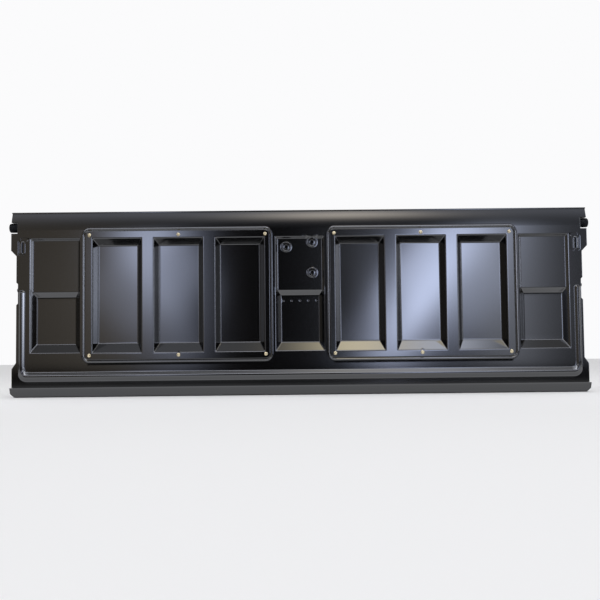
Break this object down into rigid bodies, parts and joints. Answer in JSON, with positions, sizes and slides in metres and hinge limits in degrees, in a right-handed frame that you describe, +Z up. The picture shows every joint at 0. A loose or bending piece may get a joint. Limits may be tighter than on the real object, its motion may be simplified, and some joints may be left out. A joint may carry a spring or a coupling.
{
  "type": "pickup truck tailgate",
  "caption": "Bare stamped-steel tailgate for a full-size pickup, bed side forward, with screwed-on pocketed access covers, rubber side bumpers and support-cable studs.",
  "frame": {"origin": "centre of the bounding box's bottom face, on the floor under the bottom rail", "axes": "+X along the gate towards its right as seen from the bed side, +Y out through the outer skin, +Z up from the hinge edge to the top edge"},
  "size_m": [1.6624, 0.056, 0.528],
  "materials": {
    "black_primer": "satin-gloss black electro-coat primer on steel sheet",
    "screw_zinc": "yellow zinc plating",
    "stud_zinc": "black zinc plating",
    "bumper_rubber": "matte moulded rubber"
  },
  "bodies": {
    "root": {"inner_panel": "black_primer", "outer_panel": "black_primer", "bottom_rail": "black_primer", "left_access_cover": "black_primer", "left_latch_bracket": "black_primer", "left_hinge_plate": "black_primer", "left_bumper": "bumper_rubber", "left_support_stud": "stud_zinc", "right_access_cover": "black_primer", "right_latch_bracket": "black_primer", "right_hinge_plate": "black_primer", "right_bumper": "bumper_rubber", "right_support_stud": "stud_zinc", "left_cover_screw_top_inner": "screw_zinc", "left_cover_screw_top_middle": "screw_zinc", "left_cover_screw_top_outer": "screw_zinc", "left_cover_screw_bottom_inner": "screw_zinc", "left_cover_screw_bottom_middle": "screw_zinc", "left_cover_screw_bottom_outer": "screw_zinc", "right_cover_screw_top_inner": "screw_zinc", "right_cover_screw_top_middle": "screw_zinc", "right_cover_screw_top_outer": "screw_zinc", "right_cover_screw_bottom_inner": "screw_zinc", "right_cover_screw_bottom_middle": "screw_zinc", "right_cover_screw_bottom_outer": "screw_zinc"}
  },
  "joints": []
}
